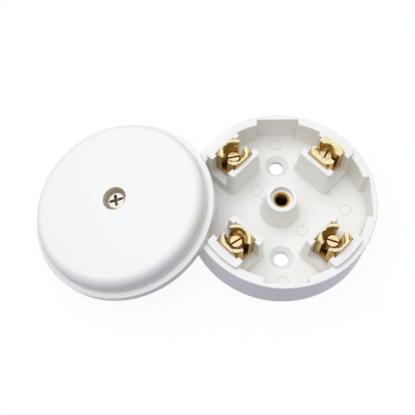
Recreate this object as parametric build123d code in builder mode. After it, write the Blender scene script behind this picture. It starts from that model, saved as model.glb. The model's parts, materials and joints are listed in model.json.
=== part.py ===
from build123d import *
import math
import os

# A round junction box for fixed wiring, four terminals, with its cover taken off.
# The moulded base lies flat on a table. The cover leans on it, one edge on the table.
# Sizes are in millimetres. The origin is on the base's underside, at its centre, with +Z up.

os.makedirs("parts", exist_ok=True)

# Sizes of the moulded base
base_radius = 29.5
rim_height = 13.0
floor_thickness = 2.7
wall_thickness = 2.9
ledge_width = 1.8
rim_edge = 0.2
foot_edge = 0.15
wall_corner = 0.35
foot_round = 0.5
entry_width = 13.4
entry_web = 1.75
fixing_pitch = 32.0
fixing_hole_radius = 2.35
fixing_sink_radius = 3.85
ejector_mark_radius = 1.9
ejector_mark_depth = 0.15
ejector_mark_width = 0.22
ejector_mark_places = [(0, 24), (0, -24), (21.4, 0), (-21.4, 0), (-7, 7), (7, -7)]

# Sizes of the cover screw and the washer that keeps it in the cover
screw_radius = 2.0
screw_reach = 3.25
screw_head_radius = 3.2
screw_head_height = 2.0
screw_head_edge = 0.7
screw_tip_bevel = 0.4
driver_angle = 10.0
screw_slot_width = 1.0
screw_slot_depth = 0.9
cross_width = 1.0
cross_span = 3.8
cross_depth = 1.4
washer_radius = 3.2
washer_thickness = 0.7
washer_clearance = 0.05
captive_play = 0.9

# Sizes of the centre boss and its threaded insert
boss_set_down = 0.05
boss_wall = 1.35
boss_draft = 7.1
boss_edge = 0.15
boss_sink_room = 0.3
boss_sink_depth = 1.8
insert_thread_depth = 0.3
insert_wall = 0.95
insert_mouth = 0.55
insert_length = 8.0
insert_clearance = 0.03

# Sizes of the brass terminals
block_side = 8.25
block_height = 9.7
block_top_margin = 0.275
plain_block_top_margin = 0.675
block_top_draft = 40.0
block_sink_room = 0.9
block_sink_depth = 1.6
wire_slot_width = 2.5
wire_slot_floor = 1.6
block_edge = 0.25
block_corner = 0.3

# Sizes of the four pockets that hold the terminals
pocket_rise = 1.35
pocket_end_wall = 1.95
pocket_draft = 4.5
pocket_corner = 0.9
pocket_edge = 0.2
pocket_outer_wall = 2.85
pocket_inner_wall = 1.55
pocket_mouth = 6.8
seat_height = 6.2
block_clearance = 0.08

# Sizes of the clamping screws
clamp_radius = 2.4
clamp_length = 3.4
clamp_point_radius = 1.5
clamp_point_length = 0.9
clamp_bevel = 0.6
clamp_slot_width = 0.65
clamp_slot_depth = 0.9
thread_clearance = 0.09

# Sizes of the cover
lid_set_back = 0.3
skirt_height = 2.75
skirt_step = 1.7
lid_edge = 0.35
skirt_clearance = 0.3
rebate_clearance = 0.4
crown_height = 10.4
crown_sag = 1.5
crown_edge = 3.2
side_draft = 5.0
lid_wall = 1.8
column_wall = 0.9
column_draft = 3.0
screw_play = 0.2
head_room = 0.5
head_sink_floor = 6.9

# How the cover lies: which way from the base, and its gaps to the nearer pocket and to the rim
lid_bearing = 181.95
lid_pocket_gap = 0.17
rest_gap = 0.05

# Sizes that follow from the ones above
wall_inner_radius = base_radius - wall_thickness
entry_face = base_radius - entry_web
boss_height = rim_height - boss_set_down
boss_sink_radius = washer_radius + boss_sink_room
boss_top_radius = boss_sink_radius + boss_wall
insert_bore_radius = screw_radius - insert_thread_depth
insert_radius = insert_bore_radius + insert_wall
insert_top = boss_height - boss_sink_depth
cavity_side = block_side + 2 * block_clearance
pocket_outer_radius = base_radius - ledge_width
pocket_half_length = cavity_side / 2 + pocket_end_wall
pocket_top = rim_height + pocket_rise
terminal_reach = pocket_outer_radius - pocket_outer_wall - cavity_side / 2
pocket_inner_face = terminal_reach - cavity_side / 2 - pocket_inner_wall
bore_radius = clamp_radius + thread_clearance
block_sink_radius = clamp_radius + block_sink_room
lid_radius = base_radius - lid_set_back
rebate_radius = pocket_outer_radius + skirt_clearance
rebate_depth = pocket_rise + rebate_clearance
dome_foot_radius = lid_radius - skirt_step
lid_hole_radius = screw_radius + screw_play
head_sink_radius = screw_head_radius + head_room
column_radius = head_sink_radius + column_wall
screw_length = head_sink_floor + boss_set_down + boss_sink_depth + screw_reach
corner_reach = pocket_outer_radius - pocket_corner
corner_turn = math.asin((pocket_half_length - pocket_corner) / corner_reach)
lid_to_corner = math.radians(225 - lid_bearing) - corner_turn


def lid_height(tilt):
    """Height of the cover's centre when its lowest edge is on the table."""
    return (lid_radius - lid_edge) * math.sin(tilt) + lid_edge * (1 - math.cos(tilt))


def lid_reach(tilt):
    """How far the cover's centre lies from the base's axis, with its edge at the nearer pocket's corner."""
    along = corner_reach * math.cos(lid_to_corner)
    across = corner_reach * math.sin(lid_to_corner)
    return along + math.cos(tilt) * math.sqrt((lid_radius + pocket_corner + lid_pocket_gap) ** 2 - across**2)


def resting_tilt():
    """Tilt, in radians, at which the cover's skirt lies on the edge of the base's rim."""
    low = 0.05
    high = 0.6
    crossing_radius = base_radius - rim_edge
    for step in range(50):
        tilt = (low + high) / 2
        rise = math.sin(tilt)
        run = math.cos(tilt)
        reach = lid_reach(tilt)
        spare = reach**2 + rebate_radius**2 - crossing_radius**2
        along = (math.sqrt((reach * run) ** 2 + spare * rise**2) - reach * run) / rise**2
        skirt_height_there = lid_height(tilt) + along * rise
        rim_height_there = rim_height - rim_edge + (rim_edge + rest_gap) / run
        if skirt_height_there < rim_height_there:
            low = tilt
        else:
            high = tilt
    return (low + high) / 2


# The cover's own plane, on the underside of its skirt: its X runs down to the edge on the table
tilt = resting_tilt()
bearing = math.radians(lid_bearing)
outward = Vector(math.cos(bearing), math.sin(bearing), 0)
upward = Vector(0, 0, 1)
lid_plane = Plane(
    origin=outward * lid_reach(tilt) + upward * lid_height(tilt),
    x_dir=outward * math.cos(tilt) - upward * math.sin(tilt),
    z_dir=outward * math.sin(tilt) + upward * math.cos(tilt),
)
lid_section = Plane(origin=lid_plane.origin, x_dir=lid_plane.x_dir, z_dir=-lid_plane.y_dir)
lid_axis = Axis(lid_plane.origin, lid_plane.z_dir)
print("cover tilt in degrees", round(math.degrees(tilt), 3), "reach", round(lid_reach(tilt), 3))
print("cover centre", lid_plane.origin, "cover axis", lid_plane.z_dir)


# Pocket blocks: four drafted blocks that stand on the floor and run into the outside wall.
# Draft makes them wider at the floor, so the floor outline is worked out from the top one.
block_rise = pocket_top - floor_thickness
draft_growth = block_rise * math.tan(math.radians(pocket_draft))
pocket_foot_face = pocket_inner_face - draft_growth
pocket_foot_half_length = pocket_half_length + draft_growth
pocket_foot_reach = pocket_outer_radius + draft_growth

with BuildPart() as pocket_blocks:
    with BuildSketch(Plane.XY.offset(floor_thickness)) as outlines:
        with PolarLocations(pocket_foot_face + pocket_foot_reach / 2, 4, start_angle=45):
            Rectangle(pocket_foot_reach, 2 * pocket_foot_half_length)
        Circle(pocket_foot_reach, mode=Mode.INTERSECT)
        fillet(outlines.vertices(), pocket_corner + draft_growth)
    extrude(amount=block_rise, taper=pocket_draft)
    fillet(pocket_blocks.edges().group_by(Axis.Z)[-1], pocket_edge)


def is_wall_corner(edge):
    """True for an upright edge where the thick wall ends beside a cable entry."""
    return math.hypot(edge.center().X, edge.center().Y) < wall_inner_radius + wall_corner


# Base: one moulding, with a thick outside wall that thins to a web at the four cable entries
with BuildPart() as base:
    with BuildSketch():
        Circle(base_radius)
    extrude(amount=rim_height)
    with BuildSketch(Plane.XY.offset(floor_thickness)):
        Circle(wall_inner_radius)
        with PolarLocations(entry_face / 2, 4):
            Rectangle(entry_face, entry_width)
    extrude(amount=rim_height - floor_thickness, mode=Mode.SUBTRACT)
    fillet(base.edges().filter_by(Axis.Z).filter_by(is_wall_corner), wall_corner)
    fillet(base.edges().group_by(Axis.Z)[-1], rim_edge)
    fillet(base.edges().group_by(Axis.Z)[0], foot_edge)
    with BuildSketch(Plane.XY.offset(floor_thickness)):
        Circle(boss_top_radius + (boss_height - floor_thickness) * math.tan(math.radians(boss_draft)))
    extrude(amount=boss_height - floor_thickness, taper=boss_draft)
    add(pocket_blocks.part)

    # Every wall, the boss and the pocket blocks meet the floor in a small round
    floor_edges = base.edges().filter_by_position(Axis.Z, floor_thickness - 0.01, floor_thickness + 0.01)
    fillet(floor_edges, foot_round)

    # Each pocket has a square seat for its terminal and a narrower mouth at both ends
    with BuildSketch(Plane.XY.offset(seat_height)):
        with PolarLocations(terminal_reach, 4, start_angle=45):
            Rectangle(cavity_side, cavity_side)
            Rectangle(pocket_mouth, 2 * pocket_foot_half_length)
    extrude(amount=pocket_top - seat_height, mode=Mode.SUBTRACT)

    # The boss is sunk for the cover's retaining washer and bored for the insert
    with BuildSketch(Plane.XY.offset(boss_height)):
        Circle(boss_sink_radius)
    extrude(amount=-boss_sink_depth, mode=Mode.SUBTRACT)
    circles = base.edges().filter_by(GeomType.CIRCLE)
    level_circles = circles.filter_by_position(Axis.Z, boss_height - 0.01, boss_height + 0.01)
    fillet(level_circles.filter_by(lambda edge: edge.radius < boss_top_radius + 0.01), boss_edge)
    with BuildSketch(Plane.XY.offset(insert_top)):
        Circle(insert_radius + insert_clearance)
    extrude(amount=-insert_length, mode=Mode.SUBTRACT)

    # Two countersunk holes take the screws that fix the base to a wall or joist
    with Locations(Plane.XY.offset(floor_thickness)):
        with GridLocations(1, fixing_pitch, 1, 2):
            CounterSinkHole(fixing_hole_radius, fixing_sink_radius, floor_thickness, 90)

    # Rings that the ejector pins left on the floor
    with BuildSketch(Plane.XY.offset(floor_thickness)):
        with Locations(*ejector_mark_places):
            Circle(ejector_mark_radius)
            Circle(ejector_mark_radius - ejector_mark_width, mode=Mode.SUBTRACT)
    extrude(amount=-ejector_mark_depth, mode=Mode.SUBTRACT)

base.part.label = "base"
export_step(base.part, "parts/base.step")


# Threaded insert of the boss, for the cover screw
with BuildPart() as centre_insert:
    with BuildSketch(Plane.XY.offset(insert_top - insert_length)):
        Circle(insert_radius)
        Circle(insert_bore_radius, mode=Mode.SUBTRACT)
    extrude(amount=insert_length)
    mouth = centre_insert.edges().group_by(Axis.Z)[-1].sort_by(SortBy.RADIUS)[0]
    chamfer(mouth, insert_mouth)
centre_insert.part.label = "centre_insert"
export_step(centre_insert.part, "parts/centre_insert.step")


def corner_plane(angle, height):
    """A level plane on a terminal's axis, with its X pointing away from the box's centre."""
    away = Vector(math.cos(math.radians(angle)), math.sin(math.radians(angle)), 0)
    return Plane(origin=away * terminal_reach + upward * height, x_dir=away, z_dir=(0, 0, 1))


def make_terminal(name, angle, top_margin, has_sink):
    """A square brass block with a turned top, bored for its screw and slotted for the wires."""
    turned_radius = block_side / 2 + top_margin
    with BuildPart() as block:
        with BuildSketch(corner_plane(angle, seat_height)):
            RectangleRounded(block_side, block_side, block_corner)
        extrude(amount=block_height)
        chamfer(block.edges().group_by(Axis.Z)[0], block_edge)

        # Turning leaves a round land on top and a sloping face on each corner
        with BuildSketch(corner_plane(angle, seat_height)):
            Circle(turned_radius + block_height * math.tan(math.radians(block_top_draft)))
        extrude(amount=block_height, taper=block_top_draft, mode=Mode.INTERSECT)

        with BuildSketch(corner_plane(angle, seat_height + block_height)):
            Circle(bore_radius)
        extrude(amount=wire_slot_floor - block_height, mode=Mode.SUBTRACT)
        with BuildSketch(corner_plane(angle, seat_height + wire_slot_floor)):
            Rectangle(wire_slot_width, block_side * 1.2)
        extrude(amount=block_height, mode=Mode.SUBTRACT)
        if has_sink:
            with BuildSketch(corner_plane(angle, seat_height + block_height)):
                Circle(block_sink_radius)
            extrude(amount=-block_sink_depth, mode=Mode.SUBTRACT)
    block.part.label = name
    export_step(block.part, "parts/" + name + ".step")


def make_clamp_screw(name, angle, depth, slot_angle):
    """A slotted brass clamping screw with a turned-down point, its face sunk below the block's top."""
    face_height = seat_height + block_height - depth
    face_plane = corner_plane(angle, face_height)
    with BuildPart() as screw:
        with BuildSketch(face_plane):
            Circle(clamp_radius)
        extrude(amount=-clamp_length)
        with BuildSketch(face_plane.offset(-clamp_length)):
            Circle(clamp_point_radius)
        extrude(amount=-clamp_point_length)
        chamfer(screw.edges().group_by(Axis.Z)[-1], clamp_bevel)
        with BuildSketch(face_plane.rotated((0, 0, slot_angle - angle))):
            Rectangle(3 * clamp_radius, clamp_slot_width)
        extrude(amount=-clamp_slot_depth, mode=Mode.SUBTRACT)
    screw.part.label = name
    export_step(screw.part, "parts/" + name + ".step")


# Corner, direction from the centre, screw depth, and which way its slot points
corners = [
    ("nw", 135, 3.7, 12),
    ("ne", 45, 2.9, 95),
    ("sw", 225, 2.5, 33),
    ("se", 315, 2.9, -20),
]
for corner, angle, depth, slot_angle in corners:
    is_plain = corner == "ne"
    top_margin = plain_block_top_margin if is_plain else block_top_margin
    make_terminal("terminal_" + corner, angle, top_margin, not is_plain)
    make_clamp_screw("clamp_screw_" + corner, angle, depth, slot_angle)


# Cover: a shallow crown on a steep side, with a stepped skirt that fits over the pockets
crown_reach = dome_foot_radius - crown_edge / 2
crown_radius = (crown_reach**2 + crown_sag**2) / (2 * crown_sag)


def crown_at(radius, inset):
    """Height of the crown above the skirt's underside, or of a surface parallel to it inside."""
    return crown_height - crown_radius + math.sqrt((crown_radius - inset) ** 2 - radius**2)


def dome_face(foot_radius, foot_height, inset, edge_round):
    """The half section under the crown: a drafted side, a rounded edge and the crown's arc."""
    shoulder_rise = crown_at(foot_radius, inset) - foot_height
    shoulder_radius = foot_radius - shoulder_rise * math.tan(math.radians(side_draft))
    shoulder = (shoulder_radius, crown_at(shoulder_radius, inset))
    halfway = (shoulder_radius / 2, crown_at(shoulder_radius / 2, inset))
    with BuildSketch() as face:
        with BuildLine():
            Line((0, foot_height), (foot_radius, foot_height))
            Line((foot_radius, foot_height), shoulder)
            ThreePointArc(shoulder, halfway, (0, crown_at(0, inset)))
            Line((0, crown_at(0, inset)), (0, foot_height))
        make_face()
        fillet(face.vertices().group_by(Axis.X)[-2], edge_round)
    return face.sketch


outer_dome = dome_face(dome_foot_radius, skirt_height - lid_edge, 0, crown_edge)
hollow_dome = dome_face(dome_foot_radius - lid_wall, rebate_depth, lid_wall, crown_edge - lid_wall)
column_height = crown_at(column_radius, lid_wall / 2)
column_top_radius = column_radius + column_height * math.tan(math.radians(column_draft))

with BuildPart() as lid:
    with BuildSketch(lid_section) as section:
        Rectangle(lid_radius, skirt_height, align=(Align.MIN, Align.MIN))
        fillet(section.vertices().group_by(Axis.X)[-1], lid_edge)
        add(outer_dome)
        Rectangle(rebate_radius, rebate_depth, align=(Align.MIN, Align.MIN), mode=Mode.SUBTRACT)
        add(hollow_dome, mode=Mode.SUBTRACT)

        # A column under the crown carries the screw and comes down to the base's boss
        with BuildLine():
            column_top = (column_top_radius, column_height)
            Polyline((0, 0), (column_radius, 0), column_top, (0, column_height), close=True)
        make_face()
        Rectangle(lid_hole_radius, crown_height, align=(Align.MIN, Align.MIN), mode=Mode.SUBTRACT)
        with Locations((0, head_sink_floor)):
            Rectangle(head_sink_radius, crown_height, align=(Align.MIN, Align.MIN), mode=Mode.SUBTRACT)
    revolve(axis=lid_axis)
lid.part.label = "lid"
export_step(lid.part, "parts/lid.step")


# Cover screw: a turned pan head and shank, with a slot and a cross cut across the head
head_plane = lid_plane.offset(head_sink_floor)
head_section = Plane(origin=head_plane.origin, x_dir=lid_plane.y_dir, z_dir=lid_plane.x_dir)
driver_plane = head_plane.offset(screw_head_height).rotated((0, 0, driver_angle))
with BuildPart() as lid_screw:
    with BuildSketch(head_section) as turned:
        Rectangle(screw_head_radius, screw_head_height, align=(Align.MIN, Align.MIN))
        chamfer(turned.vertices().group_by(Axis.X)[-1].sort_by(Axis.Y)[-1], screw_head_edge)
        with Locations((0, -screw_length)):
            Rectangle(screw_radius, screw_length, align=(Align.MIN, Align.MIN))
        chamfer(turned.vertices().group_by(Axis.Y)[0].sort_by(Axis.X)[-1], screw_tip_bevel)
    revolve(axis=lid_axis)
    with BuildSketch(driver_plane):
        Rectangle(3 * screw_head_radius, screw_slot_width)
    extrude(amount=-screw_slot_depth, mode=Mode.SUBTRACT)
    with BuildSketch(driver_plane):
        Rectangle(cross_span, cross_width)
        Rectangle(cross_width, cross_span)
    extrude(amount=-cross_depth, mode=Mode.SUBTRACT)
lid_screw.part.label = "lid_screw"
export_step(lid_screw.part, "parts/lid_screw.step")


# Retaining washer: it lies below the column, so the screw can lift a little but not fall out
with BuildPart() as lid_screw_washer:
    with BuildSketch(lid_plane.offset(-captive_play)):
        Circle(washer_radius)
        Circle(screw_radius + washer_clearance, mode=Mode.SUBTRACT)
    extrude(amount=-washer_thickness)
lid_screw_washer.part.label = "lid_screw_washer"
export_step(lid_screw_washer.part, "parts/lid_screw_washer.step")
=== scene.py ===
# %% [markdown]
# # A junction box with its cover off
# This lesson finishes a small white junction box in Blender. The construction comes from the packed
# model: every piece is already in its place, in metres, and stays there. What is left is what the eye
# judges, which is the camera, the light, the surface of each material and the fine screw threads.

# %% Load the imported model
import json
import math

import bmesh
import bpy
from mathutils import Matrix, Vector


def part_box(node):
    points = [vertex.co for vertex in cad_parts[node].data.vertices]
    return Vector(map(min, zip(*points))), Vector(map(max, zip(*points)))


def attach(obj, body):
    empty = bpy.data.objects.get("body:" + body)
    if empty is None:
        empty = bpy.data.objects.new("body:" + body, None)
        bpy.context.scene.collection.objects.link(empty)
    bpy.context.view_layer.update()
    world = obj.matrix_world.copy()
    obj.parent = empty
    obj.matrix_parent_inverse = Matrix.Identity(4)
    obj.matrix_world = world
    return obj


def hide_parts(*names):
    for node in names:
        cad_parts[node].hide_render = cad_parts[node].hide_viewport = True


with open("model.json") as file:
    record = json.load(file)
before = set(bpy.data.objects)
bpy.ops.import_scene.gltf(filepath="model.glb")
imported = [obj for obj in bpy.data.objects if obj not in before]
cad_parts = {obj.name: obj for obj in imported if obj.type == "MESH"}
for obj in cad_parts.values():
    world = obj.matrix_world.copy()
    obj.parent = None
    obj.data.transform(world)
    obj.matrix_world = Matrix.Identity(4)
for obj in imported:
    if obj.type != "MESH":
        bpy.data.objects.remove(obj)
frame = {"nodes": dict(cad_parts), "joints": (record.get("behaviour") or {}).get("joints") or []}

MM = 0.001
scene = bpy.context.scene
nodes = frame["nodes"]
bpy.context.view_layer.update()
print("pieces:", sorted(nodes))

# %% [markdown]
# ## The camera
# The photograph looks down steeply on the open box. Its viewpoint was worked out from the circles of
# the base and the cover, whose real sizes are known, so the camera is given by where it looks, how far
# away it is, and by two angles. A slightly long lens keeps the two discs nearly round.

# %% Camera
CAMERA_TARGET = Vector((-22.996, 2.553, 0)) * MM
CAMERA_DISTANCE = 240.08 * MM
CAMERA_ELEVATION = math.radians(65.969)
CAMERA_AZIMUTH = math.radians(-0.582)
CAMERA_LENS = 63.78
SENSOR_WIDTH = 36.0

away = Vector((
    math.cos(CAMERA_ELEVATION) * math.sin(CAMERA_AZIMUTH),
    -math.cos(CAMERA_ELEVATION) * math.cos(CAMERA_AZIMUTH),
    math.sin(CAMERA_ELEVATION),
))
camera_data = bpy.data.cameras.new("camera")
camera_data.lens = CAMERA_LENS
camera_data.sensor_width = SENSOR_WIDTH
camera = bpy.data.objects.new("camera", camera_data)
camera.location = CAMERA_TARGET + away * CAMERA_DISTANCE
camera.rotation_euler = (-away).to_track_quat("-Z", "Y").to_euler()
scene.collection.objects.link(camera)
scene.camera = camera
scene.view_settings.view_transform = "Standard"
print("camera at", [round(c / MM, 1) for c in camera.location], "mm")

# %% [markdown]
# ## Three helpers for materials
# A colour picked from a screen is written in hex, and the shader wants linear light, so one function
# turns one into the other. A second one adds a node with its settings and its links in one call, which
# keeps every material short enough to read from top to bottom. A third starts an empty material.

# %% Helpers
def linear(hex_colour):
    """A hex sRGB colour as linear red, green, blue and alpha."""
    channels = [int(hex_colour[i:i + 2], 16) / 255 for i in (1, 3, 5)]
    return [c / 12.92 if c <= 0.04045 else ((c + 0.055) / 1.055) ** 2.4 for c in channels] + [1.0]


def add(tree, kind, settings=None, **sockets):
    """Adds a node. A socket takes a value, or the output that feeds it; in2 is the third socket."""
    node = tree.nodes.new(kind)
    for name, value in (settings or {}).items():
        setattr(node, name, value)
    for name, value in sockets.items():
        key = int(name[2:]) if name[:2] == "in" and name[2:].isdigit() else name.replace("_", " ")
        if isinstance(value, bpy.types.NodeSocket):
            tree.links.new(value, node.inputs[key])
        else:
            node.inputs[key].default_value = value
    return node


def new_material(name):
    """A new material and its emptied node tree, ready for a shader."""
    material = bpy.data.materials.new(name)
    material.use_nodes = True
    material.node_tree.nodes.clear()
    return material, material.node_tree


print("middle grey in linear light:", round(linear("#808080")[0], 3))

# %% [markdown]
# ## The table
# The photograph's ground is pure white. A white floor under plain light is never quite white, and more
# light would burn out the white plastic. So the floor shows itself to the camera, and to what mirrors
# it, mostly as a white card, and a share of its real, lit colour is left in, which keeps the soft shadow
# under the box. Light that bounces up meets a duller and cooler colour, as the lilac grey of the base's
# outer wall shows.

# %% Floor
def seen_rays(tree):
    """One for the camera's rays and for what metal and glass show, nothing for light that bounces."""
    rays = add(tree, "ShaderNodeLightPath")
    seen = add(
        tree, "ShaderNodeMath", {"operation": "ADD"},
        in0=rays.outputs["Is Camera Ray"], in1=rays.outputs["Is Glossy Ray"],
    )
    return add(
        tree, "ShaderNodeMath", {"operation": "ADD", "use_clamp": True},
        in0=seen.outputs[0], in1=rays.outputs["Is Transmission Ray"],
    ).outputs[0]


FLOOR_SIZE = 3.0
FLOOR_WHITE_SHARE = 0.93
FLOOR_BOUNCE = linear("#5E6294")
WHITE = linear("#FFFFFF")

floor_mesh = bpy.data.meshes.new("floor")
half = FLOOR_SIZE / 2
floor_mesh.from_pydata(
    [(-half, -half, 0), (half, -half, 0), (half, half, 0), (-half, half, 0)], [], [(0, 1, 2, 3)],
)
floor = bpy.data.objects.new("floor", floor_mesh)
scene.collection.objects.link(floor)

floor_material, tree = new_material("pale_table")
seen = seen_rays(tree)
share = add(tree, "ShaderNodeMath", {"operation": "MULTIPLY"}, in0=seen, in1=FLOOR_WHITE_SHARE)
colour = add(
    tree, "ShaderNodeMix", {"data_type": "RGBA"},
    in0=seen, in6=FLOOR_BOUNCE, in7=WHITE,
)
lit = add(tree, "ShaderNodeBsdfDiffuse", Color=colour.outputs[2])
white = add(tree, "ShaderNodeEmission", Color=WHITE, Strength=1.0)
mix = add(
    tree, "ShaderNodeMixShader",
    in0=share.outputs[0], in1=lit.outputs[0], in2=white.outputs[0],
)
add(tree, "ShaderNodeOutputMaterial", Surface=mix.outputs[0])
floor_mesh.materials.append(floor_material)
print("table", FLOOR_SIZE, "m wide, bouncing", [round(c, 2) for c in FLOOR_BOUNCE[:3]])

# %% [markdown]
# ## The light
# The box was lit softly from above: the rims and tops are bright, the walls that look to the back and to
# the left are pale, and those that face the camera are grey. A round softbox nearly overhead does that,
# in a pale world that is brighter behind and to the left. Together they light a level surface so that
# its colour renders about as it is written. The metal shows the white studio round it and not the lamp
# itself, so no highlight burns out.

# %% Softbox and world
SOFTBOX_SIZE = 0.9
SOFTBOX_DISTANCE = 0.75
SOFTBOX_POWER = 3.5
SOFTBOX_FROM = Vector((-0.18, 0.104, 0.978)).normalized()
SOFTBOX_COLOUR = (0.93, 0.98, 1.11)
WORLD_FILL = 0.83
WORLD_FILL_COLOUR = linear("#F3F3F8")
WORLD_SHADE = 0.5
WORLD_SHADE_TO = Vector((0.57, -0.82, 0.0)).normalized()

softbox_data = bpy.data.lights.new("softbox", "AREA")
softbox_data.shape = "DISK"
softbox_data.size = SOFTBOX_SIZE
softbox_data.energy = SOFTBOX_POWER
softbox_data.color = SOFTBOX_COLOUR
softbox = bpy.data.objects.new("softbox", softbox_data)
softbox.location = CAMERA_TARGET + SOFTBOX_FROM * SOFTBOX_DISTANCE
softbox.rotation_euler = SOFTBOX_FROM.to_track_quat("Z", "Y").to_euler()
softbox.visible_glossy = False
scene.collection.objects.link(softbox)

world = bpy.data.worlds.new("studio")
world.use_nodes = True
scene.world = world
tree = world.node_tree
tree.nodes.clear()
seen = seen_rays(tree)
place = add(tree, "ShaderNodeTexCoord")
towards = add(
    tree, "ShaderNodeVectorMath", {"operation": "DOT_PRODUCT"},
    in0=place.outputs["Generated"], in1=WORLD_SHADE_TO,
)
level = add(
    tree, "ShaderNodeMapRange",
    Value=towards.outputs["Value"], From_Min=-1.0, From_Max=1.0,
    To_Min=WORLD_FILL, To_Max=WORLD_FILL * (1 - WORLD_SHADE),
)
fill = add(tree, "ShaderNodeBackground", Color=WORLD_FILL_COLOUR, Strength=level.outputs[0])
white = add(tree, "ShaderNodeBackground", Color=WHITE, Strength=1.0)
mix = add(
    tree, "ShaderNodeMixShader",
    in0=seen, in1=fill.outputs[0], in2=white.outputs[0],
)
add(tree, "ShaderNodeOutputWorld", Surface=mix.outputs[0])
print("softbox", SOFTBOX_POWER, "W, world from", WORLD_FILL, "down to", WORLD_FILL * (1 - WORLD_SHADE))

# %% [markdown]
# ## Something dark for the metal
# Polished metal has hardly any look of its own: it shows what is round it, and in an all-white room
# brass looks like yellow paper. A photographer stands dark cards where the metal needs an edge. These
# curved screens do the same, and a brown cloth keeps the brass golden where it is dark. They count only
# in reflections, so they put no shade on the plastic.

# %% Dark screens
SCREEN_CLOTH = linear("#7C6643")
SCREEN_RADIUS = 0.30
SCREEN_STEPS = 24
SCREENS = {
    "front_screen": (math.radians(-165), math.radians(25), 0.0, 0.27),
    "back_screen": (math.radians(60), math.radians(150), 0.0, 0.10),
}

screen_material, tree = new_material("dark_cloth")
cloth = add(tree, "ShaderNodeBsdfDiffuse", Color=SCREEN_CLOTH)
add(tree, "ShaderNodeOutputMaterial", Surface=cloth.outputs[0])
for name, (start, end, foot, top) in SCREENS.items():
    points = []
    faces = []
    for step in range(SCREEN_STEPS + 1):
        turn = start + (end - start) * step / SCREEN_STEPS
        out = Vector((math.cos(turn), math.sin(turn), 0)) * SCREEN_RADIUS
        points += [CAMERA_TARGET + out + Vector((0, 0, height)) for height in (foot, top)]
        if step:
            faces.append((2 * step - 2, 2 * step, 2 * step + 1, 2 * step - 1))
    screen_mesh = bpy.data.meshes.new(name)
    screen_mesh.from_pydata(points, [], faces)
    screen_mesh.materials.append(screen_material)
    screen = bpy.data.objects.new(name, screen_mesh)
    screen.visible_camera = False
    screen.visible_diffuse = False
    screen.visible_shadow = False
    scene.collection.objects.link(screen)
    print(name, "stands from", foot, "to", top, "m")

# %% [markdown]
# ## The white moulding
# The base and the cover are pressed from a thermosetting resin, which gives a hard, opaque, glossy skin.
# Its gloss is soft, because the skin has a faint waviness like orange peel, about a millimetre and a
# half from crest to crest and only a few thousandths high. Handling has left a few specks and nicks, less
# than a millimetre across. Each could be painted by hand, but a small ball in space is shorter: the skin
# inside it takes the speck's colour.

# %% Moulded urea, its skin and its specks
PEEL_WIDTH = 1.5 * MM
PEEL_HEIGHT = 0.004 * MM
PEEL_DETAIL = 2.0
UREA_WHITE = linear("#F3F1E9")
UREA_ROUGHNESS = 0.28
UREA_IOR = 1.5
SPECK_COLOUR = linear("#A58A72")
# Each row: the place in mm, the radius in mm, and how much of the speck's colour shows
SPECKS = [
    ((-59.68, -0.40, 14.90), 0.40, 0.40),
    ((-60.86, -13.38, 14.12), 0.40, 0.16),
    ((-53.43, -23.31, 15.38), 0.35, 0.14),
    ((-5.30, 4.54, 2.70), 0.50, 0.55),
    ((7.19, -5.94, 2.70), 0.40, 0.55),
    ((3.71, 27.70, 2.90), 0.32, 0.45),
    ((5.37, 26.68, 2.70), 0.28, 0.30),
    ((-0.03, 26.55, 2.70), 0.30, 0.35),
    ((1.60, 27.40, 2.75), 0.26, 0.30),
]

moulding, tree = new_material("moulded_urea")
place = add(tree, "ShaderNodeTexCoord")
peel = add(
    tree, "ShaderNodeTexNoise",
    Vector=place.outputs["Object"], Scale=1 / PEEL_WIDTH, Detail=PEEL_DETAIL,
)
skin = add(tree, "ShaderNodeBump", Height=peel.outputs[0], Distance=PEEL_HEIGHT, Strength=1.0)
speckled = None
for speck_place, speck_radius, strength in SPECKS:
    apart = add(
        tree, "ShaderNodeVectorMath", {"operation": "DISTANCE"},
        in0=place.outputs["Object"], in1=Vector(speck_place) * MM,
    )
    speck = add(
        tree, "ShaderNodeMapRange",
        Value=apart.outputs["Value"], From_Min=speck_radius * MM, From_Max=0,
        To_Min=0, To_Max=strength,
    )
    if speckled:
        speck = add(
            tree, "ShaderNodeMath", {"operation": "MAXIMUM"},
            in0=speckled, in1=speck.outputs[0],
        )
    speckled = speck.outputs[0]
print("moulding with", len(SPECKS), "specks")

# %% [markdown]
# ## The rings of the ejector pins
# Six pins push the warm moulding out of its mould. Each prints a fine ring on the floor of the base. The
# rings are in the imported shape already. Here a point is drawn darker, with a share of the specks'
# colour, where it lies on the floor and its distance from a pin's centre is the ring's radius.

# %% Darker rings
# Each pin's place on the floor, in mm
PIN_PLACES = [(0, 24), (0, -24), (21.4, 0), (-21.4, 0), (-7, 7), (7, -7)]
PIN_RING_RADIUS = 1.79 * MM
PIN_RING_WIDTH = 0.26 * MM
PIN_RING_DEPTH = 0.2 * MM
# The rings are drawn darker by this share of the specks' colour
PIN_RING_DARKENING = 0.2
FLOOR_TOP = 2.7 * MM

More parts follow.
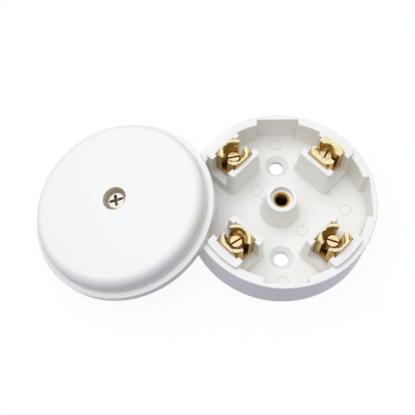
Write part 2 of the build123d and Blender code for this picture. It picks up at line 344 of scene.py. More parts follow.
flat_place = add(
    tree, "ShaderNodeVectorMath", {"operation": "MULTIPLY"},
    in0=place.outputs["Object"], in1=(1, 1, 0),
)
height = add(tree, "ShaderNodeSeparateXYZ", in0=place.outputs["Object"]).outputs["Z"]
on_floor = add(
    tree, "ShaderNodeMath", {"operation": "COMPARE"},
    in0=height, in1=FLOOR_TOP, in2=PIN_RING_DEPTH,
)
for across, along in PIN_PLACES:
    apart = add(
        tree, "ShaderNodeVectorMath", {"operation": "DISTANCE"},
        in0=flat_place.outputs[0], in1=Vector((across, along, 0)) * MM,
    )
    ring = add(
        tree, "ShaderNodeMath", {"operation": "COMPARE"},
        in0=apart.outputs["Value"], in1=PIN_RING_RADIUS, in2=PIN_RING_WIDTH / 2,
    )
    ring = add(
        tree, "ShaderNodeMath", {"operation": "MULTIPLY"},
        in0=ring.outputs[0], in1=on_floor.outputs[0],
    )
    ring = add(
        tree, "ShaderNodeMath", {"operation": "MULTIPLY"},
        in0=ring.outputs[0], in1=PIN_RING_DARKENING,
    )
    ring = add(tree, "ShaderNodeMath", {"operation": "MAXIMUM"}, in0=speckled, in1=ring.outputs[0])
    speckled = ring.outputs[0]
print("darkening in", len(PIN_PLACES), "rings")

# %% [markdown]
# ## The seat of the cover screw
# The wall of the cover screw's seat is painted a pale brown, which is painted shade down in the seat.
# The wall could be a material of its own, but the imported cover is one mesh. So the skin takes the
# brown wherever it lies nearer to the screw's axis than the seat's radius. The axis comes from the
# screw's own joint.

# %% Painted shade in the seat, and the finished moulding
SEAT_RADIUS = 3.75 * MM
# Painted shade on the wall of the cover screw's seat
SEAT_SHADE = linear("#E6DAC6")

colour = add(
    tree, "ShaderNodeMix", {"data_type": "RGBA"},
    in0=speckled, in6=UREA_WHITE, in7=SPECK_COLOUR,
)

turning = [joint for joint in frame["joints"] if joint["name"] == "lid_screw_turn"][0]
screw_place = Vector(turning["pos_m"])
screw_up = Vector(turning["axis"]).normalized()
from_screw = add(
    tree, "ShaderNodeVectorMath", {"operation": "SUBTRACT"},
    in0=place.outputs["Object"], in1=screw_place,
)
from_axis = add(
    tree, "ShaderNodeVectorMath", {"operation": "CROSS_PRODUCT"},
    in0=from_screw.outputs[0], in1=screw_up,
)
reach = add(tree, "ShaderNodeVectorMath", {"operation": "LENGTH"}, in0=from_axis.outputs[0])
in_seat = add(
    tree, "ShaderNodeMath", {"operation": "LESS_THAN"},
    in0=reach.outputs["Value"], in1=SEAT_RADIUS,
)
colour = add(
    tree, "ShaderNodeMix", {"data_type": "RGBA"},
    in0=in_seat.outputs[0], in6=colour.outputs[2], in7=SEAT_SHADE,
)
surface = add(
    tree, "ShaderNodeBsdfPrincipled",
    Base_Color=colour.outputs[2], Roughness=UREA_ROUGHNESS, IOR=UREA_IOR, Normal=skin.outputs[0],
)
add(tree, "ShaderNodeOutputMaterial", Surface=surface.outputs[0])
print("cover screw's seat at", [round(c / MM, 1) for c in screw_place], "mm")

# %% [markdown]
# ## Machined brass
# The terminals, the insert and the clamping screws are cut from drawn brass bar. A lathe leaves fine
# rings round the axis, which stretch each highlight across the cut. Real tool marks are about a tenth of a
# millimetre apart, too fine to show from here, so the rings are drawn four times as coarse. The marks
# follow the distance from the axis plus the height, which draws rings on a land and lines round a bore.
#
# The turned lands on top are painted pale, a painted highlight, and below it the brass shows its own
# gold. Further down, the slots and threads are painted a deeper gold, a painted shade. So the colour
# follows the depth below the top, and painted shade lies longest in the bottom of the turned lines. The
# fourth terminal has no turned land: a blunt cutter milled it flat and left patches, where the brass has
# gone deeper, which a noise gives. Each piece has an axis and a height of its own, so one function makes
# a material for each.

# %% Machined brass
RING_PITCH = 0.42 * MM
RING_HEIGHT = 0.0045 * MM
MILL_MARK = 0.5 * MM
MILL_HEIGHT = 0.09 * MM
MILL_DETAIL = 3.0
MILL_DISTORTION = 0.6
# The noise runs from 0 to 1. A patch begins at the first level and is full at the second
MILL_PATCHES = (0.52, 0.72)
# The top colour begins to fade at this share of its fading depth
TOP_FADE_STARTS = 1 / 3
# The deep painted shade fades over the last few hundredths of the core's radius, to this share outside it
CORE_EDGE = 1.03
DEEP_SHADE_OUTSIDE = 0.35
# The turned lines are a sine wave. They take painted shade where it is below this level, most in the
# trough
GROOVE_STARTS = 0.2
GROOVE_SHARE = 0.75
GROOVE_SHADE = linear("#5A3E18")
# Painted highlight in the pale top colour, then the brass's own gold, then painted shade in deeper gold
HIGHLIT_BRASS = linear("#F7EDC2")
BRASS_GOLD = linear("#E8C474")
DEEP_SHADED_BRASS = linear("#E4BA6C")
BRASS_ROUGHNESS = 0.27


def machined_brass(
    name, axis_place, top, top_fade_depth, deep_shade_depth,
    fresh=HIGHLIT_BRASS, aged=BRASS_GOLD, deep_shade=DEEP_SHADED_BRASS, milled=False, core=None,
):
    """Brass with turned rings round an upright axis, or milled all over, that darkens below top.

    Where core is given, the deep painted shade keeps mostly within that distance of the axis.
    """
    material, tree = new_material(name)
    place = add(tree, "ShaderNodeTexCoord")
    centred = add(
        tree, "ShaderNodeVectorMath", {"operation": "SUBTRACT"},
        in0=place.outputs["Object"], in1=axis_place,
    )
    flat = add(
        tree, "ShaderNodeVectorMath", {"operation": "MULTIPLY"},
        in0=centred.outputs[0], in1=(1, 1, 0),
    )
    reach = add(tree, "ShaderNodeVectorMath", {"operation": "LENGTH"}, in0=flat.outputs[0])
    height = add(tree, "ShaderNodeSeparateXYZ", in0=place.outputs["Object"]).outputs["Z"]
    if milled:
        marks = add(
            tree, "ShaderNodeTexNoise",
            Vector=place.outputs["Object"], Scale=1 / MILL_MARK, Detail=MILL_DETAIL,
            Distortion=MILL_DISTORTION,
        )
        mark_height = MILL_HEIGHT
    else:
        along = add(
            tree, "ShaderNodeMath", {"operation": "ADD"},
            in0=reach.outputs["Value"], in1=height,
        )
        wave = add(
            tree, "ShaderNodeMath", {"operation": "MULTIPLY"},
            in0=along.outputs[0], in1=math.tau / RING_PITCH,
        )
        marks = add(tree, "ShaderNodeMath", {"operation": "SINE"}, in0=wave.outputs[0])
        mark_height = RING_HEIGHT
    cut = add(tree, "ShaderNodeBump", Height=marks.outputs[0], Distance=mark_height, Strength=1.0)
    # Below the top the top colour fades: a painted highlight on blocks and screws, painted shade on the
    # insert
    fade_and_patches = add(
        tree, "ShaderNodeMapRange",
        Value=height, From_Min=top - top_fade_depth * TOP_FADE_STARTS, From_Max=top - top_fade_depth,
    )
    # Painted shade: deeper down, the colour goes over to the deep shade colour
    deep_shade_share = add(
        tree, "ShaderNodeMapRange",
        Value=height, From_Min=top - top_fade_depth, From_Max=top - deep_shade_depth,
    )
    if milled:
        patches = add(
            tree, "ShaderNodeMapRange",
            Value=marks.outputs[0], From_Min=MILL_PATCHES[0], From_Max=MILL_PATCHES[1],
        )
        fade_and_patches = add(
            tree, "ShaderNodeMath", {"operation": "MAXIMUM"},
            in0=fade_and_patches.outputs[0], in1=patches.outputs[0],
        )
    if core:
        inner = add(
            tree, "ShaderNodeMapRange",
            Value=reach.outputs["Value"], From_Min=core, From_Max=core * CORE_EDGE,
            To_Min=1.0, To_Max=DEEP_SHADE_OUTSIDE,
        )
        deep_shade_share = add(
            tree, "ShaderNodeMath", {"operation": "MULTIPLY"},
            in0=deep_shade_share.outputs[0], in1=inner.outputs[0],
        )
    aged = add(
        tree, "ShaderNodeMix", {"data_type": "RGBA"},
        in0=fade_and_patches.outputs[0], in6=fresh, in7=aged,
    )
    colour = add(
        tree, "ShaderNodeMix", {"data_type": "RGBA"},
        in0=deep_shade_share.outputs[0], in6=aged.outputs[2], in7=deep_shade,
    )
    # Painted shade in the bottom of the turned lines, below the top
    if not milled:
        low = add(
            tree, "ShaderNodeMapRange",
            Value=marks.outputs[0], From_Min=GROOVE_STARTS, From_Max=-1.0,
            To_Min=0.0, To_Max=GROOVE_SHARE,
        )
        groove_shade_share = add(
            tree, "ShaderNodeMath", {"operation": "MULTIPLY"},
            in0=low.outputs[0], in1=fade_and_patches.outputs[0],
        )
        colour = add(
            tree, "ShaderNodeMix", {"data_type": "RGBA"},
            in0=groove_shade_share.outputs[0], in6=colour.outputs[2], in7=GROOVE_SHADE,
        )
    surface = add(
        tree, "ShaderNodeBsdfPrincipled",
        Base_Color=colour.outputs[2], Metallic=1.0, Roughness=BRASS_ROUGHNESS,
        Normal=cut.outputs[0],
    )
    add(tree, "ShaderNodeOutputMaterial", Surface=surface.outputs[0])
    print(name, "fresh at", round(top / MM, 1), "mm, aged", round(top_fade_depth / MM, 1), "mm below")
    return material


# %% [markdown]
# ## Nickel plate and nylon
# The cover screw is steel under bright nickel, a grey a touch warmer than chrome. The slot and the
# cross are painted dark, a painted shade, and it is what makes the cross easy to see. The screw leans
# with the cover, so that painted shade is measured down the screw's own axis: it starts just under the
# face, ends where the head does, and keeps off the outside of the head. Its washer is plain nylon,
# milky and dull.

# %% Nickel plate and nylon
NICKEL = linear("#F6F3EC")
# Painted shade in the slot and the cross of the cover screw
CROSS_SHADE = linear("#7E7866")
HEAD_RADIUS = 3.2 * MM
HEAD_HEIGHT = 2.0 * MM
CROSS_SHADE_STARTS = 0.12 * MM
CROSS_SHADE_FULL = 1.2 * MM
CROSS_SHADE_RADIUS = 2.5 * MM
NICKEL_ROUGHNESS = 0.2
NYLON_WHITE = linear("#E9E6DC")
NYLON_ROUGHNESS = 0.5
NYLON_IOR = 1.53

nickel, tree = new_material("nickel_plated_steel")
place = add(tree, "ShaderNodeTexCoord")
from_face = add(
    tree, "ShaderNodeVectorMath", {"operation": "SUBTRACT"},
    in0=place.outputs["Object"], in1=screw_place + screw_up * HEAD_HEIGHT,
)
rise = add(
    tree, "ShaderNodeVectorMath", {"operation": "DOT_PRODUCT"},
    in0=from_face.outputs[0], in1=screw_up,
)
across = add(
    tree, "ShaderNodeVectorMath", {"operation": "CROSS_PRODUCT"},
    in0=from_face.outputs[0], in1=screw_up,
)
reach = add(tree, "ShaderNodeVectorMath", {"operation": "LENGTH"}, in0=across.outputs[0])
below = add(
    tree, "ShaderNodeMapRange",
    Value=rise.outputs["Value"], From_Min=-CROSS_SHADE_STARTS, From_Max=-CROSS_SHADE_FULL,
)
above = add(
    tree, "ShaderNodeMath", {"operation": "GREATER_THAN"},
    in0=rise.outputs["Value"], in1=-HEAD_HEIGHT,
)
inside = add(
    tree, "ShaderNodeMath", {"operation": "LESS_THAN"},
    in0=reach.outputs["Value"], in1=CROSS_SHADE_RADIUS,
)
# Painted shade: below the face, inside the head, near the axis
cross_shade_share = add(
    tree, "ShaderNodeMath", {"operation": "MULTIPLY"},
    in0=below.outputs[0], in1=above.outputs[0],
)
cross_shade_share = add(
    tree, "ShaderNodeMath", {"operation": "MULTIPLY"},
    in0=cross_shade_share.outputs[0], in1=inside.outputs[0],
)
colour = add(
    tree, "ShaderNodeMix", {"data_type": "RGBA"},
    in0=cross_shade_share.outputs[0], in6=NICKEL, in7=CROSS_SHADE,
)
surface = add(
    tree, "ShaderNodeBsdfPrincipled",
    Base_Color=colour.outputs[2], Metallic=1.0, Roughness=NICKEL_ROUGHNESS,
)
add(tree, "ShaderNodeOutputMaterial", Surface=surface.outputs[0])

nylon, tree = new_material("natural_nylon")
surface = add(
    tree, "ShaderNodeBsdfPrincipled",
    Base_Color=NYLON_WHITE, Roughness=NYLON_ROUGHNESS, IOR=NYLON_IOR,
)
add(tree, "ShaderNodeOutputMaterial", Surface=surface.outputs[0])
print("cross_shade from", round(CROSS_SHADE_STARTS / MM, 2), "to", round(CROSS_SHADE_FULL / MM, 1), "mm below the face")

# %% [markdown]
# ## Finishes on the imported pieces
# The base, the cover and the washer are shown just as packed, so each only takes its material. Every
# brass piece is turned round its own axis, so it gets its own copy of the brass: the blocks' painted
# highlight fades over most of a millimetre, the screws have a painted highlight on the face and a
# red-brown painted shade in the slot, and the insert's painted shade deepens quickly down its bore.

# %% Give each piece its finish
# Depths over which each piece's painted highlight fades and its painted shade deepens
BLOCK_TOP_FADE_DEPTH = 0.7 * MM
BLOCK_DEEP_SHADE_DEPTH = 7.0 * MM
FACE_TOP_FADE_DEPTH = 0.5 * MM
SLOT_DEEP_SHADE_DEPTH = 0.9 * MM
SLOT_SHADE_RADIUS = 2.0 * MM
INSERT_TOP_FADE_DEPTH = 0.6 * MM
INSERT_DEEP_SHADE_DEPTH = 3.0 * MM
# Painted highlight on the screw faces; painted shade in their slots and on the insert's face and wall
SCREW_FACE_HIGHLIGHT = linear("#FBE6B4")
SLOT_SHADE = linear("#8A3A18")
INSERT_FACE_SHADE = linear("#C79E56")
INSERT_WALL_SHADE = linear("#7C5A2A")
BORE_SHADE = linear("#7A6038")

for name in ("base", "lid"):
    nodes[name].data.materials[0] = moulding
nodes["lid_screw_washer"].data.materials[0] = nylon
block_brass = {}
screw_brass = {}
for corner in ("nw", "ne", "sw", "se"):
    low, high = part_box("terminal_" + corner)
    axis_place = (low + high) / 2
    block_brass[corner] = machined_brass(
        "machined_brass_block_" + corner, axis_place, high.z, BLOCK_TOP_FADE_DEPTH, BLOCK_DEEP_SHADE_DEPTH,
        milled=corner == "ne",
    )
    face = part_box("clamp_screw_" + corner)[1].z
    screw_brass[corner] = machined_brass(
        "machined_brass_screw_" + corner, axis_place, face, FACE_TOP_FADE_DEPTH, SLOT_DEEP_SHADE_DEPTH,
        fresh=SCREW_FACE_HIGHLIGHT, deep_shade=SLOT_SHADE, core=SLOT_SHADE_RADIUS,
    )
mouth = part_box("centre_insert")[1].z
centre_brass = machined_brass(
    "machined_brass_insert", Vector((0, 0, 0)), mouth, INSERT_TOP_FADE_DEPTH, INSERT_DEEP_SHADE_DEPTH,
    fresh=INSERT_FACE_SHADE, aged=INSERT_WALL_SHADE, deep_shade=BORE_SHADE,
)

# %% [markdown]
# ## Threads, made by Geometry Nodes
# A thread is one groove that repeats along an axis: every turn it climbs by the pitch. Modelling turn by
# turn would be slow, and a screw modifier leaves the ends to be closed by hand. A rule is shorter. Take a
# point's angle round the axis and its height, subtract one from the other in whole turns, and a wave of
# the result says how deep the groove is there. The same few nodes cut the screws and their holes.

# %% The rule of the thread
def thread_push(tree, pitch, depth):
    """A push towards the upright axis that grows to depth and fades again once for each pitch.

    The wave only reaches a half, so the push is doubled, and its minus sign turns it inward.
    """
    place = add(
        tree, "ShaderNodeSeparateXYZ",
        in0=add(tree, "GeometryNodeInputPosition").outputs[0],
    )
    x, y, z = place.outputs
    angle = add(tree, "ShaderNodeMath", {"operation": "ARCTAN2"}, in0=y, in1=x)
    turn = add(tree, "ShaderNodeMath", {"operation": "DIVIDE"}, in0=angle.outputs[0], in1=math.tau)
    climb = add(tree, "ShaderNodeMath", {"operation": "DIVIDE"}, in0=z, in1=pitch)
    phase = add(
        tree, "ShaderNodeMath", {"operation": "SUBTRACT"},
        in0=climb.outputs[0], in1=turn.outputs[0],
    )
    wave = add(tree, "ShaderNodeMath", {"operation": "PINGPONG"}, in0=phase.outputs[0], in1=0.5)
    push = add(tree, "ShaderNodeMath", {"operation": "MULTIPLY"}, in0=wave.outputs[0], in1=depth)
    inward = add(tree, "ShaderNodeMath", {"operation": "MULTIPLY"}, in0=push.outputs[0], in1=-2.0)
    level = add(tree, "ShaderNodeCombineXYZ", in0=x, in1=y)
    outward = add(tree, "ShaderNodeVectorMath", {"operation": "NORMALIZE"}, in0=level.outputs[0])
    return add(
        tree, "ShaderNodeVectorMath", {"operation": "SCALE"},
        in0=outward.outputs[0], in3=inward.outputs[0],
    )


def new_tree(name, sizes):
    """A Geometry Nodes tree that takes a mesh, named sizes and a material, and gives a mesh."""
    tree = bpy.data.node_groups.new(name, "GeometryNodeTree")
    tree.interface.new_socket("Mesh", in_out="INPUT", socket_type="NodeSocketGeometry")
    for size in sizes:
        tree.interface.new_socket(size, in_out="INPUT", socket_type="NodeSocketFloat")
    tree.interface.new_socket("Material", in_out="INPUT", socket_type="NodeSocketMaterial")
    tree.interface.new_socket("Mesh", in_out="OUTPUT", socket_type="NodeSocketGeometry")
    return tree, add(tree, "NodeGroupInput").outputs


def end_tree(tree, mesh, given):
    """Ends the tree: copies become real, and the whole takes its material."""
    real = add(tree, "GeometryNodeRealizeInstances", in0=mesh)
    coloured = add(tree, "GeometryNodeSetMaterial", in0=real.outputs[0], Material=given["Material"])
    add(tree, "NodeGroupOutput", in0=coloured.outputs[0])


def cut_away(tree, body, tools):
    """The body with every tool cut out of it."""
    cut = add(
        tree, "GeometryNodeMeshBoolean", {"operation": "DIFFERENCE", "solver": "EXACT"},
        in0=body,
    )
    for tool in tools:
        tree.links.new(tool, cut.inputs[1])
    return cut.outputs[0]


def bar(tree, length, width, depth, top):
    """An upright cutting bar whose lower face is depth below top. It stands well clear above."""
    height = add(tree, "ShaderNodeMath", {"operation": "MULTIPLY"}, in0=depth, in1=2.0)
    size = add(tree, "ShaderNodeCombineXYZ", in0=length, in1=width, in2=height.outputs[0])
    block = add(tree, "GeometryNodeMeshCube", Size=size.outputs[0])
    place = add(tree, "ShaderNodeCombineXYZ", in2=top)
    return add(
        tree, "GeometryNodeTransform",
        in0=block.outputs[0], Translation=place.outputs[0],
    ).outputs[0]


# %% [markdown]
# ## The tree for a screw
# A real screw is turned to shape, threaded by a die, and its head is slotted. The tree does the same to a
# turned body: it pushes the grooves in between two heights, and fades them out at both ends as a die
# does. Then three bars cut the slot and the two arms of the cross.

# %% The screw tree
SCREW_SIZES = [
    "Pitch", "Thread depth", "Thread top", "Thread bottom", "Face height",
    "Slot length", "Slot width", "Slot depth", "Cross span", "Cross width", "Cross depth",
]

screw_tree, given = new_tree("die_and_slot", SCREW_SIZES)
height = add(
    screw_tree, "ShaderNodeSeparateXYZ",
    in0=add(screw_tree, "GeometryNodeInputPosition").outputs[0],
).outputs["Z"]
half_pitch = add(
    screw_tree, "ShaderNodeMath", {"operation": "MULTIPLY"},
    in0=given["Pitch"], in1=0.5,
).outputs[0]
full_above = add(
    screw_tree, "ShaderNodeMath", {"operation": "ADD"},
    in0=given["Thread bottom"], in1=half_pitch,
)
full_below = add(
    screw_tree, "ShaderNodeMath", {"operation": "SUBTRACT"},
    in0=given["Thread top"], in1=half_pitch,
)
rising = add(
    screw_tree, "ShaderNodeMapRange",
    Value=height, From_Min=given["Thread bottom"], From_Max=full_above.outputs[0],
)
falling = add(
    screw_tree, "ShaderNodeMapRange",
    Value=height, From_Min=given["Thread top"], From_Max=full_below.outputs[0],
)
both = add(
    screw_tree, "ShaderNodeMath", {"operation": "MULTIPLY"},
    in0=rising.outputs[0], in1=falling.outputs[0],
)
depth = add(
    screw_tree, "ShaderNodeMath", {"operation": "MULTIPLY"},
    in0=both.outputs[0], in1=given["Thread depth"],
)
push = thread_push(screw_tree, given["Pitch"], depth.outputs[0])
threaded = add(screw_tree, "GeometryNodeSetPosition", in0=given["Mesh"], Offset=push.outputs[0])
slot = bar(
    screw_tree, given["Slot length"], given["Slot width"], given["Slot depth"],
    given["Face height"],
)
across = bar(
    screw_tree, given["Cross span"], given["Cross width"], given["Cross depth"],
    given["Face height"],
)
along = bar(
    screw_tree, given["Cross width"], given["Cross span"], given["Cross depth"],
    given["Face height"],
)
end_tree(screw_tree, cut_away(screw_tree, threaded.outputs[0], [slot, across, along]), given)
print("screw tree:", len(screw_tree.nodes), "nodes")

# %% [markdown]
# ## The tree for a threaded hole
# A hole is threaded by a tap, which is itself a screw. So the tree makes a tap, a fine cylinder pushed
# in by the same rule, stands it in the hole, and cuts it out of the block.

# %% The hole tree
HOLE_SIZES = [
    "Pitch", "Thread depth", "Bore radius", "Thread top", "Thread bottom", "Across", "Along",
]
TAP_SIDES = 72
TAP_STEPS_PER_TURN = 10
# The tap's roots stand this far inside the bore, so that no face of it lies on the bore's wall
TAP_ROOM = 0.03 * MM

hole_tree, given = new_tree("tap", HOLE_SIZES)
crest = add(
    hole_tree, "ShaderNodeMath", {"operation": "ADD"},
    in0=given["Bore radius"], in1=given["Thread depth"],
)
length = add(
    hole_tree, "ShaderNodeMath", {"operation": "SUBTRACT"},
    in0=given["Thread top"], in1=given["Thread bottom"],
)
turns = add(
    hole_tree, "ShaderNodeMath", {"operation": "DIVIDE"},
    in0=length.outputs[0], in1=given["Pitch"],
)
steps = add(
    hole_tree, "ShaderNodeMath", {"operation": "MULTIPLY"},
    in0=turns.outputs[0], in1=TAP_STEPS_PER_TURN,
)
tap = add(
    hole_tree, "GeometryNodeMeshCylinder",
    Vertices=TAP_SIDES, Side_Segments=steps.outputs[0], Radius=crest.outputs[0],
    Depth=length.outputs[0],
)
depth = add(
    hole_tree, "ShaderNodeMath", {"operation": "ADD"},
    in0=given["Thread depth"], in1=TAP_ROOM,
)
push = thread_push(hole_tree, given["Pitch"], depth.outputs[0])
tap = add(hole_tree, "GeometryNodeSetPosition", in0=tap.outputs[0], Offset=push.outputs[0])
both_ends = add(
    hole_tree, "ShaderNodeMath", {"operation": "ADD"},
    in0=given["Thread top"], in1=given["Thread bottom"],
)
middle = add(
    hole_tree, "ShaderNodeMath", {"operation": "MULTIPLY"},
    in0=both_ends.outputs[0], in1=0.5,
)
place = add(
    hole_tree, "ShaderNodeCombineXYZ",
    in0=given["Across"], in1=given["Along"], in2=middle.outputs[0],
)
tap = add(hole_tree, "GeometryNodeTransform", in0=tap.outputs[0], Translation=place.outputs[0])
end_tree(hole_tree, cut_away(hole_tree, given["Mesh"], [tap.outputs[0]]), given)
print("hole tree:", len(hole_tree.nodes), "nodes")

# %% [markdown]
# ## From a tree to a plain mesh
# A modifier is only a recipe. The finished mesh is taken from the evaluated object once, so that every
# piece leaves this lesson as plain geometry. Its edges are marked sharp wherever two faces meet at a
# clear angle, and everything else shades smoothly.

# %% Growing a mesh
SHARP_ANGLE = math.radians(32)


def grown(name, mesh, tree, sizes, material):
    """A new object at the origin, with the mesh that the tree makes of another mesh."""
    seed = bpy.data.objects.new(name + "_seed", mesh)
    scene.collection.objects.link(seed)
    recipe = seed.modifiers.new(tree.name, "NODES")
    recipe.node_group = tree
    for socket in tree.interface.items_tree:
        if socket.in_out == "INPUT" and socket.name in sizes:
            recipe[socket.identifier] = float(sizes[socket.name])
        if socket.in_out == "INPUT" and socket.name == "Material":
            recipe[socket.identifier] = material
    evaluated = seed.evaluated_get(bpy.context.evaluated_depsgraph_get())
    made = bpy.data.meshes.new_from_object(evaluated)
    seed.modifiers.clear()
    bpy.data.objects.remove(seed)
    made.name = name
    made.shade_smooth()
    made.set_sharp_from_angle(angle=SHARP_ANGLE)
    piece = bpy.data.objects.new(name, made)
    scene.collection.objects.link(piece)
    print(name, "has", len(made.polygons), "faces")
    return piece


def turned(name, outline, sides):
    """A mesh turned from (radius, height) points, from the axis at the bottom to the axis on top."""
    points = []
    faces = []
    for radius, height in outline[1:-1]:
        for side in range(sides):
            angle = math.tau * side / sides
            points.append((radius * math.cos(angle), radius * math.sin(angle), height))
    rows = len(outline) - 2
    for row in range(rows - 1):
        lower = row * sides
        upper = lower + sides
        for side in range(sides):
            after = (side + 1) % sides
            faces.append((lower + side, lower + after, upper + after, upper + side))
    bottom = len(points)
    points += [(0, 0, outline[0][1]), (0, 0, outline[-1][1])]
    for side in range(sides):
        after = (side + 1) % sides
        faces.append((bottom, after, side))
        faces.append((bottom + 1, (rows - 1) * sides + side, (rows - 1) * sides + after))
    mesh = bpy.data.meshes.new(name)
    mesh.from_pydata(points, [], faces)
    return mesh


def stretch(start, end, step):
    """Heights from start to end, no further apart than step, for the part that will be threaded."""
    count = math.ceil(abs(end - start) / step)
    return [start + (end - start) * i / count for i in range(1, count)]


# %% [markdown]
# ## The clamping screws
# Each terminal grips its wires with a short brass grub screw. Its face is chamfered, its slot is narrow,
# and its lower end is turned down to a blunt point that presses the wires without cutting them. It is
# turned from an outline with closely spaced heights where the thread goes, so that the push of the tree
# has enough points to shape. The tree always cuts a cross, and here one so small that the slot hides it.

# %% Clamping screws
CLAMP_PITCH = 0.8 * MM
CLAMP_THREAD_DEPTH = 0.34 * MM
CLAMP_BEVEL = 0.6 * MM
CLAMP_POINT_RADIUS = 1.5 * MM
CLAMP_POINT_LENGTH = 0.9 * MM
CLAMP_POINT_BEVEL = 0.25 * MM
CLAMP_SLOT_WIDTH = 0.62 * MM
CLAMP_SLOT_DEPTH = 0.9 * MM
CLAMP_SLOT_TURN = {"nw": 12, "ne": 60, "sw": 33, "se": -20}
SCREW_SIDES = 48
STEPS_PER_TURN = 10
# A slot's cutting bar is this many radii long, so it runs out at both sides of the face
SLOT_RUN = 3

for corner, turn in CLAMP_SLOT_TURN.items():
    low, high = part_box("clamp_screw_" + corner)
    radius = (high.x - low.x) / 2
    length = high.z - low.z
    shoulder = -length + CLAMP_POINT_LENGTH
    outline = [
        (0, -length),
        (CLAMP_POINT_RADIUS - CLAMP_POINT_BEVEL, -length),
        (CLAMP_POINT_RADIUS, -length + CLAMP_POINT_BEVEL),
        (CLAMP_POINT_RADIUS, shoulder),
        (radius, shoulder),
    ]
    outline += [(radius, z) for z in stretch(shoulder, -CLAMP_BEVEL, CLAMP_PITCH / STEPS_PER_TURN)]
    outline += [(radius, -CLAMP_BEVEL), (radius - CLAMP_BEVEL, 0), (0, 0)]
    screw = grown(
        "turned_clamp_screw_" + corner, turned("clamp_blank", outline, SCREW_SIDES), screw_tree,
        {
            "Pitch": CLAMP_PITCH, "Thread depth": CLAMP_THREAD_DEPTH,
            "Thread top": -CLAMP_BEVEL, "Thread bottom": shoulder, "Face height": 0,
            "Slot length": SLOT_RUN * radius, "Slot width": CLAMP_SLOT_WIDTH,
            "Slot depth": CLAMP_SLOT_DEPTH, "Cross span": radius / 4, "Cross width": radius / 8,
            "Cross depth": CLAMP_SLOT_DEPTH / 2,
        },
        screw_brass[corner],
    )
    centre = Vector(((low.x + high.x) / 2, (low.y + high.y) / 2, high.z))
    screw.data.transform(Matrix.Translation(centre) @ Matrix.Rotation(math.radians(turn), 4, "Z"))
    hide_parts("clamp_screw_" + corner)
    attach(screw, "clamp_screw_" + corner)

# %% [markdown]
# ## The cover screw
# The cover is held by one machine screw with a pan head. The head is round on its shoulder, and it takes
# either a flat blade or a cross-tip driver, so it has a long slot and a cross that goes deeper. It is
# made upright at the origin like the others. Three directions of the leaning screw, two across it and
# one along it, are then the columns of the turn that lays it in its place.

# %% Cover screw
COVER_SCREW_PITCH = 0.7 * MM
COVER_SCREW_THREAD_DEPTH = 0.36 * MM
COVER_SCREW_RADIUS = 2.0 * MM
HEAD_SIDE = 0.75 * MM
HEAD_TOP_RADIUS = 2.2 * MM
HEAD_STEPS = 6
SHANK_LENGTH = 12.0 * MM
PLAIN_SHANK = 1.4 * MM
TIP_BEVEL = 0.4 * MM
HEAD_SLOT_WIDTH = 0.7 * MM
HEAD_SLOT_DEPTH = 0.9 * MM
CROSS_SPAN = 3.8 * MM
CROSS_WIDTH = 1.0 * MM
CROSS_DEPTH = 1.4 * MM
HEAD_TURN = math.radians(10)

outline = [(0, -SHANK_LENGTH), (COVER_SCREW_RADIUS - TIP_BEVEL, -SHANK_LENGTH)]
outline += [(COVER_SCREW_RADIUS, -SHANK_LENGTH + TIP_BEVEL)]
outline += [
    (COVER_SCREW_RADIUS, z)
    for z in stretch(-SHANK_LENGTH + TIP_BEVEL, 0, COVER_SCREW_PITCH / STEPS_PER_TURN)
]
outline += [(COVER_SCREW_RADIUS, 0), (HEAD_RADIUS, 0)]
for step in range(HEAD_STEPS + 1):
    bend = math.pi / 2 * step / HEAD_STEPS
    outline.append((
        HEAD_TOP_RADIUS + (HEAD_RADIUS - HEAD_TOP_RADIUS) * math.cos(bend),
        HEAD_SIDE + (HEAD_HEIGHT - HEAD_SIDE) * math.sin(bend),
    ))
outline.append((0, HEAD_HEIGHT))
cover_screw = grown(
    "turned_cover_screw", turned("cover_screw_blank", outline, SCREW_SIDES), screw_tree,
    {
        "Pitch": COVER_SCREW_PITCH, "Thread depth": COVER_SCREW_THREAD_DEPTH,
        "Thread top": -PLAIN_SHANK, "Thread bottom": -SHANK_LENGTH, "Face height": HEAD_HEIGHT,
        "Slot length": SLOT_RUN * HEAD_RADIUS, "Slot width": HEAD_SLOT_WIDTH,
        "Slot depth": HEAD_SLOT_DEPTH, "Cross span": CROSS_SPAN, "Cross width": CROSS_WIDTH,
        "Cross depth": CROSS_DEPTH,
    },
    nickel,
)
away_from_camera = Vector((0, 1, 0))
side = (away_from_camera - screw_up * away_from_camera.dot(screw_up)).normalized()
front = side.cross(screw_up)
pose = Matrix((front, side, screw_up)).transposed().to_4x4()
cover_screw.data.transform(
    Matrix.Translation(screw_place) @ pose @ Matrix.Rotation(HEAD_TURN, 4, "Z"),
)
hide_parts("lid_screw")
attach(cover_screw, "lid_screw")
print("cover screw leans", round(math.degrees(screw_up.angle(Vector((0, 0, 1)))), 1), "degrees")

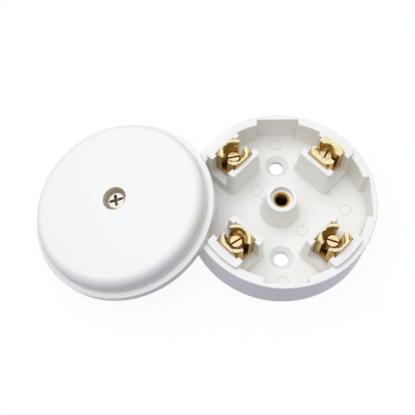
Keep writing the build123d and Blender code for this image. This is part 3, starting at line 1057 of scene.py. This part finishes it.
# %% [markdown]
# ## The tapped brass
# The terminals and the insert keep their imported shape, and the tap cuts a thread into a copy of it. The
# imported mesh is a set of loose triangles, so the copy has its doubled corners merged first, or a cut
# through it would leave it open. The tap starts a little above each bore's mouth and ends in the wire
# slot, and in the insert it runs right through.

# %% Terminals and insert
INSERT_THREAD_DEPTH = 0.3 * MM
INSERT_BORE_RADIUS = 1.7 * MM
BORE_RADIUS = 2.49 * MM
SINK_DEPTH = 1.6 * MM
WIRE_SLOT_FLOOR = 1.6 * MM
MERGE_DISTANCE = 0.0005 * MM


def merged_copy(node):
    """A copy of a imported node's mesh, with its doubled corners merged."""
    shape = bmesh.new()
    shape.from_mesh(nodes[node].data)
    bmesh.ops.remove_doubles(shape, verts=shape.verts, dist=MERGE_DISTANCE)
    mesh = bpy.data.meshes.new(node + "_merged")
    shape.to_mesh(mesh)
    shape.free()
    return mesh


def tapped(node, name, sizes, material, body):
    """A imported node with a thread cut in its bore, in place of the node."""
    piece = grown(name, merged_copy(node), hole_tree, sizes, material)
    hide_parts(node)
    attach(piece, body)


for corner in CLAMP_SLOT_TURN:
    node = "terminal_" + corner
    low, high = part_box(node)
    axis = (low + high) / 2
    top = high.z + CLAMP_PITCH if corner == "ne" else high.z - SINK_DEPTH + CLAMP_PITCH / 2
    bottom = low.z + WIRE_SLOT_FLOOR + CLAMP_PITCH / 4
    sizes = {
        "Pitch": CLAMP_PITCH, "Thread depth": CLAMP_THREAD_DEPTH, "Bore radius": BORE_RADIUS,
        "Thread top": top, "Thread bottom": bottom, "Across": axis.x, "Along": axis.y,
    }
    tapped(node, "tapped_" + node, sizes, block_brass[corner], "box")

low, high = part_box("centre_insert")
sizes = {
    "Pitch": COVER_SCREW_PITCH, "Thread depth": INSERT_THREAD_DEPTH,
    "Bore radius": INSERT_BORE_RADIUS, "Thread top": high.z + COVER_SCREW_PITCH,
    "Thread bottom": low.z - COVER_SCREW_PITCH, "Across": 0, "Along": 0,
}
tapped("centre_insert", "tapped_centre_insert", sizes, centre_brass, "box")
